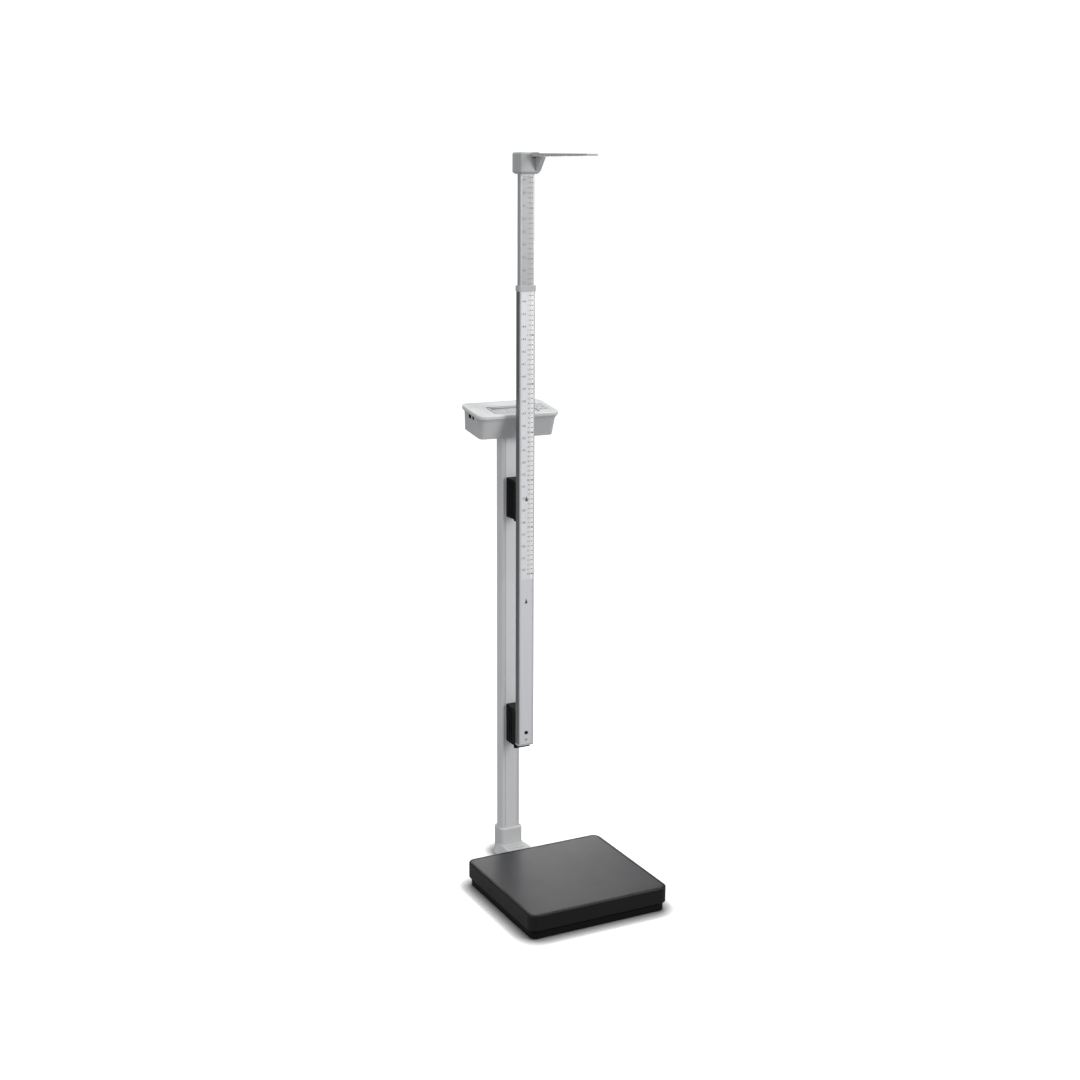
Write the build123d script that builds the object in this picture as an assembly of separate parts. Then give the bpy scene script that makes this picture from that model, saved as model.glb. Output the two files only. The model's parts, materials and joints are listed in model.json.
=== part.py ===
from build123d import *
import math
import os

# Column scale with a digital indicator and a telescoping height rod, in millimetres.
# +Z is up and the floor is z = 0. The user stands on the platform and faces +Y, where the
# column is. The origin is on the floor, in the middle of the whole object's footprint.

# ---------------------------------------------------------------- driving dimensions
PLATFORM_WIDTH = 316.0
PLATFORM_DEPTH = 305.0
PLATFORM_TOP = 54.0            # standing surface above the floor
OVERALL_DEPTH = 468.5          # platform front to the back of the indicator
COLUMN_FROM_PLATFORM = 274.0   # platform middle to column middle
ROD_FROM_COLUMN = 79.5         # column middle forward to the height rod's middle
COLUMN_SIZE = (44.0, 30.0)
COLUMN_TOP = 936.0
OUTER_ROD_SIZE = (36.0, 18.0)
INNER_ROD_SIZE = (32.4, 14.4)
ROD_WALL = 1.5
OUTER_ROD_BOTTOM = 278.0
ARM_HEIGHT = 1507.0            # underside of the measuring arm as posed
ARM_REACH = 232.4              # how far the arm stands out in front of its block
INNER_ROD_LENGTH = 962.0
HEAD_SIZE = (187.0, 101.0, 52.5)   # across and along its lip, and its height
HEAD_TILT = 9.0                # the indicator slopes down towards the user, in degrees
HEAD_TOP_HEIGHT = 996.0        # middle of the indicator's top face

# ---------------------------------------------------------------- places worked out from them
PLATFORM_Y = (PLATFORM_DEPTH - OVERALL_DEPTH) / 2
COLUMN_Y = PLATFORM_Y + COLUMN_FROM_PLATFORM
ROD_Y = COLUMN_Y - ROD_FROM_COLUMN
ROD_FRONT = ROD_Y - OUTER_ROD_SIZE[1] / 2
ROD_BACK = ROD_Y + OUTER_ROD_SIZE[1] / 2
COLUMN_FRONT = COLUMN_Y - COLUMN_SIZE[1] / 2
RULER_START = PLATFORM_TOP + 600.0
RULER_END = PLATFORM_TOP + 1190.0
COLLAR_TOP = PLATFORM_TOP + 1200.0
OUTER_ROD_TOP = COLLAR_TOP - 3.0
HEAD_Y = COLUMN_Y - 9.0
FACE_GAP = 0.2                 # assembly gap between neighbouring pieces


# ---------------------------------------------------------------- small helpers
def block(x_range, y_range, z_range):
    """A plain box from its lowest and highest coordinate along each axis."""
    size = [high - low for low, high in (x_range, y_range, z_range)]
    middle = [(high + low) / 2 for low, high in (x_range, y_range, z_range)]
    return Pos(*middle) * Box(*size)


def rounded_bar(width, depth, z_low, z_high, radius, y=0.0, x=0.0):
    """An upright bar with rounded corners, centred on (x, y)."""
    outline = RectangleRounded(width, depth, radius)
    return Pos(x, y, z_low) * extrude(outline, z_high - z_low)


def rod_along_x(radius, x_low, x_high, y, z):
    return Pos((x_low + x_high) / 2, y, z) * Rot(0, 90, 0) * Cylinder(radius, x_high - x_low)


def rod_along_y(radius, y_low, y_high, x, z):
    return Pos(x, (y_low + y_high) / 2, z) * Rot(90, 0, 0) * Cylinder(radius, y_high - y_low)


def upright_pin(radius, z_low, z_high, x, y):
    return Pos(x, y, (z_low + z_high) / 2) * Cylinder(radius, z_high - z_low)


def corner_spots(half_x, half_y):
    return [(x, y) for x in (-half_x, half_x) for y in (-half_y, half_y)]


# ---------------------------------------------------------------- weighing platform
CORNER_RADIUS = 18.0
COVER_SKIRT_BOTTOM = 20.0
COVER_WALL = 3.0
MAT_THICKNESS = 2.5
MAT_INSET = 6.0
TRAY_INSET = 5.5
TRAY_BOTTOM = 2.0
TRAY_TOP = 16.0
TRAY_WALL = 2.0
TRAY_FLOOR = (6.0, 8.0)
UPSTAND_INSET = 15.0
UPSTAND_TOP = 34.0
LOAD_PLATE = (45.5, 48.5)
FOOT_SPOTS = corner_spots(PLATFORM_WIDTH / 2 - 34.0, PLATFORM_DEPTH / 2 - 34.0)
FOOT_STEM_RADIUS = 4.0
CELL_LENGTH = 84.0
CELL_HEIGHT = (10.0, 24.0)
BRIDGE_PLATE = (8.2, 13.2)
BRIDGE_WIDTH = 44.0
LEAD_RADIUS = 2.2
LEAD_HEIGHT = BRIDGE_PLATE[1] + LEAD_RADIUS + 0.2


def platform_bar(inset, z_low, z_high):
    """A slab with the platform's rounded outline, drawn in by the inset."""
    radius = max(CORNER_RADIUS - inset, 2.0)
    width = PLATFORM_WIDTH - 2 * inset
    depth = PLATFORM_DEPTH - 2 * inset
    return rounded_bar(width, depth, z_low, z_high, radius, y=PLATFORM_Y)


def platform_cover():
    outside = platform_bar(0, COVER_SKIRT_BOTTOM, PLATFORM_TOP)
    outside = fillet(outside.faces().sort_by(Axis.Z)[-1].edges(), 3.0)
    outside = fillet(outside.faces().sort_by(Axis.Z)[0].edges(), 1.2)
    cavity = platform_bar(COVER_WALL, COVER_SKIRT_BOTTOM - 1, LOAD_PLATE[1])
    recess = platform_bar(MAT_INSET, PLATFORM_TOP - MAT_THICKNESS, PLATFORM_TOP + 1)
    return outside - cavity - recess


def platform_mat():
    mat = platform_bar(MAT_INSET + FACE_GAP, PLATFORM_TOP - MAT_THICKNESS, PLATFORM_TOP - 0.2)
    return fillet(mat.faces().sort_by(Axis.Z)[-1].edges(), 0.8)


def load_plate():
    plate = platform_bar(12.0, *LOAD_PLATE)
    for x in (-70, 70):
        plate -= rounded_bar(60, 160, LOAD_PLATE[0] - 1, LOAD_PLATE[1] + 1, 12, PLATFORM_Y, x)
    return plate


def base_tray():
    skirt = platform_bar(TRAY_INSET, TRAY_BOTTOM, TRAY_TOP)
    skirt -= platform_bar(TRAY_INSET + TRAY_WALL, TRAY_BOTTOM - 1, TRAY_TOP + 1)
    floor = platform_bar(TRAY_INSET + TRAY_WALL / 2, *TRAY_FLOOR)
    upstand = platform_bar(UPSTAND_INSET, TRAY_FLOOR[0], UPSTAND_TOP)
    upstand -= platform_bar(UPSTAND_INSET + TRAY_WALL, TRAY_FLOOR[0] - 1, UPSTAND_TOP + 1)
    tray = skirt + floor + upstand
    for x, y in FOOT_SPOTS:
        tray += upright_pin(8.0, TRAY_FLOOR[0], TRAY_TOP - 4, x, y + PLATFORM_Y)
        tray -= upright_pin(FOOT_STEM_RADIUS + 0.05, 0, TRAY_TOP, x, y + PLATFORM_Y)
    rear = PLATFORM_Y + PLATFORM_DEPTH / 2
    slot_y = (rear - UPSTAND_INSET - TRAY_WALL - 1, rear + 1)
    return tray - bridge_passage(slot_y)


def bridge_passage(y_range):
    """Opening that lets the bridge plate and the signal lead through a wall."""
    plate_half = BRIDGE_WIDTH / 2 + 0.5
    passage = block((-plate_half, plate_half), y_range, (TRAY_FLOOR[1], BRIDGE_PLATE[1] + 0.5))
    lead_half = LEAD_RADIUS + 1.3
    return passage + block((-lead_half, lead_half), y_range, (TRAY_FLOOR[1], LEAD_HEIGHT + lead_half))


def foot_stem(x, y):
    return upright_pin(FOOT_STEM_RADIUS, 3.0, TRAY_TOP + 4, x, y + PLATFORM_Y)


def foot_pad(x, y):
    pad = upright_pin(13.0, 0, 5.4, x, y + PLATFORM_Y)
    pad = fillet(pad.faces().sort_by(Axis.Z)[0].edges(), 1.0)
    return pad - upright_pin(FOOT_STEM_RADIUS, 3.0, 8.0, x, y + PLATFORM_Y)


def cell_direction(x):
    return -1 if x > 0 else 1


def load_cells():
    return Compound(children=[load_cell(x, y) for x, y in FOOT_SPOTS])


def load_cell(x, y):
    """A bending-beam load cell: fixed near its corner, loaded at its free inner end."""
    towards_middle = cell_direction(x)
    start = x + towards_middle * 14
    end = start + towards_middle * CELL_LENGTH
    x_range = (min(start, end), max(start, end))
    y_mid = y + PLATFORM_Y
    beam = block(x_range, (y_mid - 11, y_mid + 11), CELL_HEIGHT)
    middle = sum(x_range) / 2
    height = sum(CELL_HEIGHT) / 2
    for offset in (-8, 8):
        beam -= rod_along_y(4.5, y_mid - 12, y_mid + 12, middle + offset, height)
    beam -= block((middle - 8, middle + 8), (y_mid - 12, y_mid + 12), (height - 2, height + 2))
    foot = block(
        (min(start, start + towards_middle * 24), max(start, start + towards_middle * 24)),
        (y_mid - 11, y_mid + 11),
        (TRAY_FLOOR[1], CELL_HEIGHT[0]),
    )
    return beam + foot


def load_buttons():
    """Rubber-topped posts that carry the load plate on the free ends of the load cells."""
    posts = []
    for x, y in FOOT_SPOTS:
        x_free = x + cell_direction(x) * (14 + CELL_LENGTH - 11)
        posts.append(upright_pin(8.0, CELL_HEIGHT[1], LOAD_PLATE[0], x_free, y + PLATFORM_Y))
    return Compound(children=posts)


def junction_board():
    """Small circuit board that sums the four load cells."""
    board = block((-26, 26), (PLATFORM_Y - 20, PLATFORM_Y + 14), (12.0, 13.6))
    for x, y in corner_spots(21, 13):
        board += upright_pin(2.5, TRAY_FLOOR[1], 12.0, x, PLATFORM_Y - 3 + y)
    board += block((-18, -4), (PLATFORM_Y - 12, PLATFORM_Y + 4), (13.6, 20))
    return board + block((4, 20), (PLATFORM_Y - 8, PLATFORM_Y + 6), (13.6, 17))


# ---------------------------------------------------------------- column and its foot
COLUMN_WALL = 2.0
COLUMN_RADIUS = 5.0
BOOT_SIZE = (54.0, 40.0)
BOOT_TOP = 60.0
BOOT_WALL = 2.2
BOOT_RADIUS = 9.5
BOOT_SHOULDER = 4.4
FOOT_POST_TOP = 92.0
BRIDGE_FRONT = PLATFORM_Y + 60.0
BRIDGE_BACK = COLUMN_Y + 15.4
BRIDGE_COVER_TOP = 22.5
BRIDGE_COVER_HALVES = (38.0, 27.0)   # half width at the floor and at the top
PLUG_GAP = 0.15
FOOT_BOLT_Y = COLUMN_Y + 4.2
FOOT_BOLT_RADIUS = 2.6
LEAD_Y = COLUMN_Y - 1.5


def column_bore(gap, z_low, z_high):
    """A bar that fills the column's bore, drawn in by the gap on every side."""
    width = COLUMN_SIZE[0] - 2 * COLUMN_WALL - 2 * gap
    depth = COLUMN_SIZE[1] - 2 * COLUMN_WALL - 2 * gap
    return rounded_bar(width, depth, z_low, z_high, COLUMN_RADIUS - COLUMN_WALL, y=COLUMN_Y)


def column_tube():
    """Extruded tube with a shallow groove down each edge of its front and back."""
    low = BRIDGE_PLATE[1]
    tube = rounded_bar(*COLUMN_SIZE, low, COLUMN_TOP, COLUMN_RADIUS, y=COLUMN_Y)
    tube -= column_bore(0, low - 1, COLUMN_TOP + 1)
    tube -= bridge_passage((COLUMN_FRONT - 1, COLUMN_FRONT + COLUMN_WALL + 1))
    for x in (-14.5, 14.5):
        for side in (-1, 1):
            face_y = COLUMN_Y + side * COLUMN_SIZE[1] / 2
            tube -= block((x - 1.2, x + 1.2), (face_y - 0.8, face_y + 0.8), (low - 1, COLUMN_TOP + 1))
    for z in bracket_bolt_heights():
        tube -= rod_along_y(2.55, COLUMN_FRONT - 1, COLUMN_FRONT + 3, 0, z)
    for z in foot_bolt_heights():
        tube -= rod_along_x(FOOT_BOLT_RADIUS + 0.1, -30, 30, FOOT_BOLT_Y, z)
    return tube


def bridge_plate():
    """Steel plate that ties the tray to the column, with the post the column slips over."""
    plate = block((-BRIDGE_WIDTH / 2, BRIDGE_WIDTH / 2), (BRIDGE_FRONT, BRIDGE_BACK), BRIDGE_PLATE)
    post = column_bore(PLUG_GAP, BRIDGE_PLATE[1], FOOT_POST_TOP)
    post -= bridge_passage((COLUMN_FRONT, COLUMN_Y))
    plate += post
    plate -= rounded_bar(30, 18, 0, FOOT_POST_TOP + 1, 3, y=COLUMN_Y)
    for z in foot_bolt_heights():
        plate -= rod_along_x(FOOT_BOLT_RADIUS + 0.1, -30, 30, FOOT_BOLT_Y, z)
    return plate


def bridge_screws():
    """Screws that hold the plate to the tray's floor, from above."""
    spots = [(x, BRIDGE_FRONT + y) for x in (-15, 15) for y in (12, 60)]
    heads = []
    for x, y in spots:
        head = upright_pin(5.0, BRIDGE_PLATE[1], BRIDGE_PLATE[1] + 3, x, y)
        heads.append(head - upright_pin(2.0, BRIDGE_PLATE[1] + 1.2, BRIDGE_PLATE[1] + 4, x, y))
    return Compound(children=heads)


def foot_bolt_heights():
    return (30.0, 50.0)


def foot_bolts():
    """Cross bolts that lock the column on its post, each with a low head and a nut."""
    bolts = []
    half = COLUMN_SIZE[0] / 2
    for z in foot_bolt_heights():
        bolt = rod_along_x(FOOT_BOLT_RADIUS, -half - 1.5, half + 1.5, FOOT_BOLT_Y, z)
        for side in (-1, 1):
            inner, outer = side * (half + 0.1), side * (half + 2.2)
            bolt += rod_along_x(4.6, min(inner, outer), max(inner, outer), FOOT_BOLT_Y, z)
        bolts.append(bolt)
    return Compound(children=bolts)


def rear_pads():
    """Rubber pads under the column end of the bridge plate."""
    pads = []
    for x in (-12, 12):
        pad = upright_pin(8.0, 0, BRIDGE_PLATE[0], x, COLUMN_Y + 4)
        pads.append(fillet(pad.faces().sort_by(Axis.Z)[0].edges(), 1.0))
    return Compound(children=pads)


def column_boot():
    """Plastic shroud round the column's foot, with rounded shoulders."""
    boot = rounded_bar(*BOOT_SIZE, TRAY_BOTTOM, BOOT_TOP, BOOT_RADIUS, y=COLUMN_Y)
    boot = fillet(boot.faces().sort_by(Axis.Z)[-1].edges(), BOOT_SHOULDER)
    hollow_width = BOOT_SIZE[0] - 2 * BOOT_WALL
    hollow_depth = BOOT_SIZE[1] - 2 * BOOT_WALL
    hollow_radius = BOOT_RADIUS - BOOT_WALL
    boot -= rounded_bar(hollow_width, hollow_depth, 0, BOOT_TOP - 5, hollow_radius, y=COLUMN_Y)
    neck_width, neck_depth = COLUMN_SIZE[0] + 0.6, COLUMN_SIZE[1] + 0.6
    boot -= rounded_bar(neck_width, neck_depth, 0, BOOT_TOP + 1, COLUMN_RADIUS, y=COLUMN_Y)
    front = COLUMN_Y - BOOT_SIZE[1] / 2
    return boot - bridge_passage((front - 1, front + BOOT_WALL + 1))


def bridge_cover_bar(shrink, front, back):
    """A bar along the bridge with the cover's sloping sides, drawn in by the shrink."""
    half_low, half_high = [half - shrink for half in BRIDGE_COVER_HALVES]
    outline = Polyline(
        (-half_low, TRAY_BOTTOM - shrink),
        (-half_high, BRIDGE_COVER_TOP - shrink),
        (half_high, BRIDGE_COVER_TOP - shrink),
        (half_low, TRAY_BOTTOM - shrink),
        close=True,
    )
    return Pos(0, back, 0) * extrude(Plane.XZ * make_face(outline), back - front)


def bridge_cover():
    """Ribbed plastic cover over the bridge, from the platform back round the boot's front."""
    front = PLATFORM_Y + PLATFORM_DEPTH / 2 + 3.0
    back = COLUMN_Y - 2.0
    boot_front = COLUMN_Y - BOOT_SIZE[1] / 2
    wall = 2.0
    cover = bridge_cover_bar(0, front, back)
    cover = fillet(cover.edges().filter_by(Axis.Y).sort_by(Axis.Z)[-2:], 4.0)
    cover -= bridge_cover_bar(wall, front - 1, back - wall)
    for step in (12, 26):
        rib_z = (BRIDGE_COVER_TOP - 1.5, BRIDGE_COVER_TOP + 1.6)
        rib_half = BRIDGE_COVER_HALVES[1] - 8
        cover += block((-rib_half, rib_half), (boot_front - step - 3, boot_front - step), rib_z)
    around = [size + 2 * FACE_GAP for size in BOOT_SIZE]
    return cover - rounded_bar(*around, 0, BOOT_TOP, BOOT_RADIUS + FACE_GAP, y=COLUMN_Y)


# ---------------------------------------------------------------- rod brackets
BRACKET_HEIGHT = 84.0
UPPER_BRACKET_BOTTOM = 765.0
LOWER_BRACKET_BOTTOM = 264.0
BRACKET_WEB = 24.0
FLANGE_DEPTH = 8.0


def bracket_bolt_heights():
    heights = []
    for bottom in (LOWER_BRACKET_BOTTOM, UPPER_BRACKET_BOTTOM):
        heights += [bottom + 22.0, bottom + BRACKET_HEIGHT - 12.0]
    return heights


def rod_bracket(bottom):
    """Spacer between column and rod: a ribbed web with a wide flange behind the rod."""
    top = bottom + BRACKET_HEIGHT
    half_web = BRACKET_WEB / 2
    flange_back = ROD_BACK + FLANGE_DEPTH
    web = block((-half_web, half_web), (flange_back - 1, COLUMN_FRONT), (bottom, top))
    for side in (-1, 1):
        for groove in (8, 18, 28):
            y = flange_back + groove
            x_low, x_high = sorted((side * (half_web - 1.4), side * (half_web + 1)))
            web -= block((x_low, x_high), (y, y + 4), (bottom + 5, top - 5))
    half_flange = OUTER_ROD_SIZE[0] / 2
    flange = block((-half_flange, half_flange), (ROD_BACK, flange_back), (bottom, top))
    flange = fillet(flange.edges().filter_by(Axis.Z), 1.5)
    bracket = flange + web
    for z in bracket_bolt_heights():
        bracket -= rod_along_y(2.55, ROD_BACK - 1, COLUMN_FRONT + 1, 0, z)
        bracket -= rod_along_y(5.0, ROD_BACK - 1, ROD_BACK + 30, 0, z)
    if bottom == LOWER_BRACKET_BOTTOM:
        bracket -= rod_along_y(2.05, ROD_BACK - 1, ROD_BACK + 13, 0, STOP_SCREW_HEIGHT)
    else:
        for z in rod_screw_heights():
            bracket -= rod_along_y(1.55, ROD_BACK - 1, ROD_BACK + 7, 10.0, z)
    return bracket


def bracket_screws():
    """Long screws from inside each bracket's flange into the column's front wall."""
    screws = []
    for z in bracket_bolt_heights():
        head_back = ROD_BACK + 30
        screw = rod_along_y(2.5, head_back - 1, COLUMN_FRONT + COLUMN_WALL, 0, z)
        head = rod_along_y(4.4, head_back - 5, head_back, 0, z)
        head -= rod_along_y(2.0, head_back - 6, head_back - 2.5, 0, z)
        screws.append(screw + head)
    return Compound(children=screws)


# ---------------------------------------------------------------- height rod
STOP_SCREW_HEIGHT = OUTER_ROD_BOTTOM + 25.0
RIVET_HEIGHT = OUTER_ROD_BOTTOM + 9.5
TAPE_RECESS = 0.5
BLOCK_BOTTOM = ARM_HEIGHT - 33.4
BLOCK_TOP = ARM_HEIGHT + 9.0
INNER_ROD_TOP = BLOCK_BOTTOM + 24.0
INNER_ROD_BOTTOM = INNER_ROD_TOP - INNER_ROD_LENGTH


def rod_screw_heights():
    return (UPPER_BRACKET_BOTTOM + 16.0, UPPER_BRACKET_BOTTOM + BRACKET_HEIGHT - 30.0)


def rod_profile(size, z_low, z_high, shrink=0.0, radius=3.0):
    width, depth = size[0] - 2 * shrink, size[1] - 2 * shrink
    return rounded_bar(width, depth, z_low, z_high, max(radius - shrink, 0.8), y=ROD_Y)


def rod_outer():
    low, high = OUTER_ROD_BOTTOM, OUTER_ROD_TOP
    tube = rod_profile(OUTER_ROD_SIZE, low, high)
    tube -= rod_profile(OUTER_ROD_SIZE, low - 1, high + 1, shrink=ROD_WALL)
    tube -= block((-14, 14), (ROD_FRONT - 1, ROD_FRONT + TAPE_RECESS), (low - 1, high + 1))
    tube -= rod_along_y(2.05, ROD_FRONT - 1, ROD_BACK + 1, 0, STOP_SCREW_HEIGHT)
    tube -= rod_along_y(1.55, ROD_FRONT - 1, ROD_Y, 0, RIVET_HEIGHT)
    for z in rod_screw_heights():
        tube -= rod_along_y(1.55, ROD_Y, ROD_BACK + 1, 10.0, z)
    return tube


def rod_screws():
    """Flat-headed screws through the rod's back wall into the upper bracket."""
    screws = []
    for z in rod_screw_heights():
        screws.append(rod_along_y(1.5, ROD_BACK - ROD_WALL + 0.1, ROD_BACK + 6, 10.0, z))
    return Compound(children=screws)


def rod_collar():
    """Slip-on bush at the top of the outer rod that guides the inner rod."""
    collar = rounded_bar(38.6, 20.6, COLLAR_TOP - 12, COLLAR_TOP, 3.6, y=ROD_Y)
    collar = fillet(collar.faces().sort_by(Axis.Z)[-1].edges(), 1.0)
    collar -= rod_profile(OUTER_ROD_SIZE, COLLAR_TOP - 13, OUTER_ROD_TOP, shrink=-0.05)
    return collar - rod_profile(INNER_ROD_SIZE, COLLAR_TOP - 13, COLLAR_TOP + 1, shrink=-0.3)


def rod_bottom_cap():
    """Plug that closes the bottom of the outer rod, level with its walls."""
    cap = rod_profile(OUTER_ROD_SIZE, OUTER_ROD_BOTTOM - 4, OUTER_ROD_BOTTOM)
    cap += rod_profile(OUTER_ROD_SIZE, OUTER_ROD_BOTTOM - 1, OUTER_ROD_BOTTOM + 14, shrink=ROD_WALL + 0.1)
    return cap - rod_along_y(1.55, ROD_FRONT - 1, ROD_Y, 0, RIVET_HEIGHT)


def rod_stop_screw():
    """Round-headed screw through the rod into the lower bracket."""
    recess_face = ROD_FRONT + TAPE_RECESS
    shank = rod_along_y(2.0, recess_face - 0.5, ROD_BACK + 12, 0, STOP_SCREW_HEIGHT)
    head = rod_along_y(3.8, recess_face - 2.2, recess_face, 0, STOP_SCREW_HEIGHT)
    head = fillet(head.faces().sort_by(Axis.Y)[0].edges(), 1.2)
    return shank + head


def cap_rivet():
    recess_face = ROD_FRONT + TAPE_RECESS
    shank = rod_along_y(1.5, recess_face - 0.3, ROD_FRONT + 8, 0, RIVET_HEIGHT)
    return shank + rod_along_y(2.4, recess_face - 0.9, recess_face, 0, RIVET_HEIGHT)


def scale_tape_outer():
    back = ROD_FRONT + TAPE_RECESS
    return block((-13.7, 13.7), (back - 0.35, back), (RULER_START - 12, RULER_END + 2))


def rod_inner():
    low, high = INNER_ROD_BOTTOM, INNER_ROD_TOP
    tube = rod_profile(INNER_ROD_SIZE, low, high, radius=2.6)
    tube -= rod_profile(INNER_ROD_SIZE, low - 1, high + 1, shrink=ROD_WALL, radius=2.6)
    front = ROD_Y - INNER_ROD_SIZE[1] / 2
    return tube - block((-12.5, 12.5), (front - 1, front + 0.4), (low - 1, high + 1))


def scale_tape_inner():
    back = ROD_Y - INNER_ROD_SIZE[1] / 2 + 0.4
    return block((-12.2, 12.2), (back - 0.3, back), (INNER_ROD_BOTTOM + 60, BLOCK_BOTTOM - 3))


def rod_glide():
    """Plastic plug in the inner rod's bottom end."""
    low = INNER_ROD_BOTTOM
    plug = rod_profile(INNER_ROD_SIZE, low - 5, low, shrink=-0.1, radius=2.6)
    return plug + rod_profile(INNER_ROD_SIZE, low - 1, low + 16, shrink=ROD_WALL + 0.1, radius=2.6)


# ---------------------------------------------------------------- head block and arm
BLOCK_WIDTH = 43.4
BLOCK_FRONT = ROD_Y - 20.2
BLOCK_BACK = ROD_Y + 18.8
BLOCK_TOP_ROUNDING = 4.0
ARM_X = 11.0                   # the arm sits towards the block's right side
ARM_ROOT_WIDTH = 16.0
ARM_TIP_WIDTH = 25.0
ARM_ROOT_THICKNESS = 6.4
ARM_TIP_THICKNESS = 3.8
PIVOT_Y = BLOCK_FRONT + 7.0
PIVOT_Z = ARM_HEIGHT + 3.6
PIVOT_RADIUS = 2.0
CHEEK_REACH_TOP = 24.0
CHEEK_REACH_BOTTOM = 1.5
CHEEK_THICKNESS = 9.6
PIN_LEFT = -4.0


def head_block():
    """Block on top of the inner rod, with a gusset on its right that carries the arm."""
    half = BLOCK_WIDTH / 2
    body = block((-half, half), (BLOCK_FRONT, BLOCK_BACK), (BLOCK_BOTTOM, BLOCK_TOP))
    body = chamfer(body.faces().sort_by(Axis.Z)[0].edges(), 4.5)
    body = fillet(body.edges().filter_by(Axis.Z), 2.0)
    body = fillet(body.faces().sort_by(Axis.Z)[-1].edges(), BLOCK_TOP_ROUNDING)
    cheek_outline = Polyline(
        (BLOCK_FRONT + 1, BLOCK_BOTTOM + 5),
        (BLOCK_FRONT - CHEEK_REACH_BOTTOM, BLOCK_BOTTOM + 6),
        (BLOCK_FRONT - CHEEK_REACH_TOP, ARM_HEIGHT - 0.4),
        (BLOCK_FRONT + 1, ARM_HEIGHT - 0.4),
        close=True,
    )
    cheek = extrude(Plane.YZ * make_face(cheek_outline), CHEEK_THICKNESS)
    body += Pos(half - CHEEK_THICKNESS, 0, 0) * cheek
    slot_half = ARM_ROOT_WIDTH / 2 + 0.4
    slot_y = (BLOCK_FRONT - 1, PIVOT_Y + 4.3)
    body -= block((ARM_X - slot_half, ARM_X + slot_half), slot_y, (ARM_HEIGHT - 1.6, BLOCK_TOP + 1))
    body -= rod_along_x(PIVOT_RADIUS, PIN_LEFT, half + 1, PIVOT_Y, PIVOT_Z)
    return body - rod_profile(INNER_ROD_SIZE, BLOCK_BOTTOM - 1, INNER_ROD_TOP, shrink=0, radius=2.6)


def arm_pin():
    return rod_along_x(PIVOT_RADIUS, PIN_LEFT, BLOCK_WIDTH / 2 - 0.3, PIVOT_Y, PIVOT_Z)


def measuring_arm():
    """Blade that lies on the gusset, widening and thinning towards its tip."""
    root_y = PIVOT_Y
    tip_y = BLOCK_FRONT - ARM_REACH
    side = Polyline(
        (root_y, ARM_HEIGHT),
        (tip_y, ARM_HEIGHT),
        (tip_y, ARM_HEIGHT + ARM_TIP_THICKNESS),
        (root_y, ARM_HEIGHT + ARM_ROOT_THICKNESS + 0.6),
        close=True,
    )
    blade = Pos(-20, 0, 0) * extrude(Plane.YZ * make_face(side), 40)
    shoulder = BLOCK_FRONT - 8.0
    plan = Polyline(
        (-ARM_ROOT_WIDTH / 2, root_y),
        (-ARM_ROOT_WIDTH / 2, shoulder),
        (-ARM_TIP_WIDTH / 2, tip_y),
        (ARM_TIP_WIDTH / 2, tip_y),
        (ARM_ROOT_WIDTH / 2, shoulder),
        (ARM_ROOT_WIDTH / 2, root_y),
        close=True,
    )
    blade &= Pos(0, 0, ARM_HEIGHT - 1) * extrude(make_face(plan), 20)
    knuckle = rod_along_x(3.5, -ARM_ROOT_WIDTH / 2, ARM_ROOT_WIDTH / 2, PIVOT_Y, PIVOT_Z)
    arm = blade + knuckle
    arm -= rod_along_x(PIVOT_RADIUS + 0.06, -30, 30, PIVOT_Y, PIVOT_Z)
    tip_edges = arm.edges().filter_by(Axis.Z).sort_by(Axis.Y)[:2]
    return Pos(ARM_X, 0, 0) * fillet(tip_edges, 2.0)


# ---------------------------------------------------------------- indicator head
# The head is drawn flat, with its top face at z = 0 and its middle at x = y = 0,
# and then tilted and lifted into place.
UPPER_DEPTH = 7.0              # where the housings meet, at the lip's outer edge
LIP_DEPTH = 14.0               # where the slope under the lip reaches the body
LIP_RADIUS = 16.0
BODY_TOP = (173.0, 95.0)        # the body just under the overhanging lip
BODY_BOTTOM = (170.0, 84.0)
BODY_BOTTOM_Y = 0.5
BODY_RADIUS = 10.0
HEAD_WALL = 2.5
WINDOW_SIZE = (104.0, 48.0)
WINDOW_Y = -12.0
KEY_SIZE = 10.4
KEY_SPOTS = [(x, y) for y in (8.0, -8.0, -24.0) for x in (62.5, 76.0)]
KEY_TRAVEL = 1.0
UNDERSIDE = -HEAD_SIZE[2]
BAY_X = (25.0, 75.0)
BAY_Y = (-27.0, 29.5)
DOOR_THICKNESS = 2.0
BOARD_Z = (-23.1, -21.5)
PORT_Y = (6.0, 19.0)
PORT_TOP = BOARD_Z[1] + 9.0
JACK_Y = -3.5
JACK_Z = BOARD_Z[1] + 5.0
SUPPORT_Y = 2.0                # middle of the column's top, seen from the tilted head
SOCKET_FACE_X = -BODY_TOP[0] / 2 + 1.2


def in_head(part):
    return Pos(0, HEAD_Y, HEAD_TOP_HEIGHT) * Rot(HEAD_TILT, 0, 0) * part


def head_bar(inset, z_low, z_high):
    width, depth = HEAD_SIZE[0] - 2 * inset, HEAD_SIZE[1] - 2 * inset
    return rounded_bar(width, depth, z_low, z_high, LIP_RADIUS - inset)


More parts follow.
